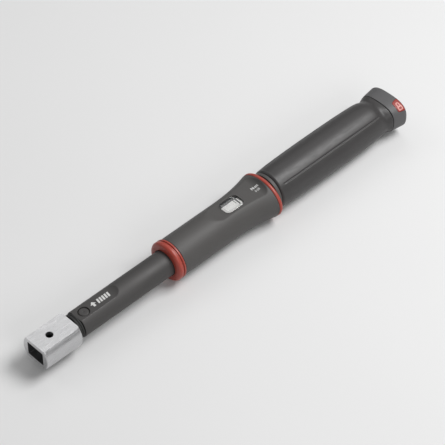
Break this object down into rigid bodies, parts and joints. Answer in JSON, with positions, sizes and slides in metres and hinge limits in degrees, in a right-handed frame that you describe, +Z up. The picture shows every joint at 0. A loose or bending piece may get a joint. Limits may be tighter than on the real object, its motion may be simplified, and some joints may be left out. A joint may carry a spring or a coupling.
{
  "type": "torque wrench",
  "caption": "Click-type torque wrench with a 9 x 12 mm insert socket, scale window, turning grip and a pull-out lock at the handle end.",
  "frame": {"origin": "under the middle of the wrench, on the surface that it lies on", "axes": "+X along the wrench from the insert socket to the handle's end, +Z up through the scale window"},
  "size_m": [0.272, 0.031, 0.0253],
  "materials": {
    "satin_chrome": "satin chrome",
    "black_steel": "black oxide, satin",
    "steel": "machined",
    "spring_steel": "oiled spring steel",
    "brass": "machined",
    "rubber": "moulded rubber",
    "grey_plastic": "fine textured",
    "black_plastic": "semi-gloss moulded",
    "red_plastic": "gloss moulded",
    "scale_white": "smooth",
    "clear_lens": "clear acrylic"
  },
  "bodies": {
    "frame": {"tube": "black_steel", "pivot_pin": "black_steel", "head_seal": "rubber", "front_ring": "red_plastic", "sleeve": "grey_plastic", "sleeve_screw": "black_steel", "window_lens": "clear_lens", "rear_ring": "red_plastic", "grip_washer": "black_plastic", "bearing_plug": "steel", "thrust_race_rear": "steel", "main_spring": "spring_steel"},
    "head": {"head_receptacle": "satin_chrome"},
    "plunger": {"plunger": "steel"},
    "tumbler": {"tumbler_block": "steel"},
    "setting_nut": {"adjusting_nut": "brass", "spring_washer": "steel", "scale_slide": "scale_white", "scale_screw": "steel"},
    "ball_cage": {"thrust_ball_cage": "brass"},
    "grip": {"grip_shell": "black_plastic", "grip_core": "grey_plastic", "grip_bush": "scale_white", "grip_pin": "steel", "adjusting_spindle": "steel", "thrust_race_front": "steel", "detent_ring": "spring_steel"},
    "lock": {"lock_cap": "black_plastic", "lock_sleeve": "steel", "lock_mark": "red_plastic", "cap_screw_left": "black_steel", "cap_screw_right": "black_steel"}
  },
  "joints": [
    {"name": "head_click", "type": "hinge", "parent": "frame", "child": "head", "pos_m": [-0.1021, 0, 0.01264], "axis": [0, 0, 1], "range_deg": [0, 2.5], "stiffness_Nm_per_rad": 4},
    {"name": "plunger_push", "type": "slide", "parent": "frame", "child": "plunger", "axis": [1, 0, 0], "range_m": [0, 0.00041]},
    {"name": "tumbler_tip", "type": "hinge", "parent": "plunger", "child": "tumbler", "pos_m": [-0.0545, 0, 0.01264], "axis": [0, 0, 1], "range_deg": [-10.1, 0]},
    {"name": "grip_turn", "type": "hinge", "parent": "frame", "child": "grip", "pos_m": [0.079, 0, 0.01264], "axis": [-1, 0, 0], "range_deg": [0, 4410]},
    {"name": "nut_travel", "type": "slide", "parent": "frame", "child": "setting_nut", "axis": [-1, 0, 0], "range_m": [0, 0.0123], "deforming": ["main_spring"]},
    {"name": "cage_spin", "type": "hinge", "parent": "frame", "child": "ball_cage", "pos_m": [0.088, 0, 0.01264], "axis": [-1, 0, 0], "range_deg": [0, 2205.5]},
    {"name": "lock_pull", "type": "slide", "parent": "grip", "child": "lock", "axis": [1, 0, 0], "range_m": [0, 0.005]}
  ],
  "couplings": [
    {"joint": "plunger_push", "follows": "head_click", "m_per_rad": 0.0091673},
    {"joint": "tumbler_tip", "follows": "head_click", "ratio": -4},
    {"joint": "nut_travel", "follows": "grip_turn", "m_per_rad": 0.00015915},
    {"joint": "cage_spin", "follows": "grip_turn", "ratio": 0.5}
  ]
}
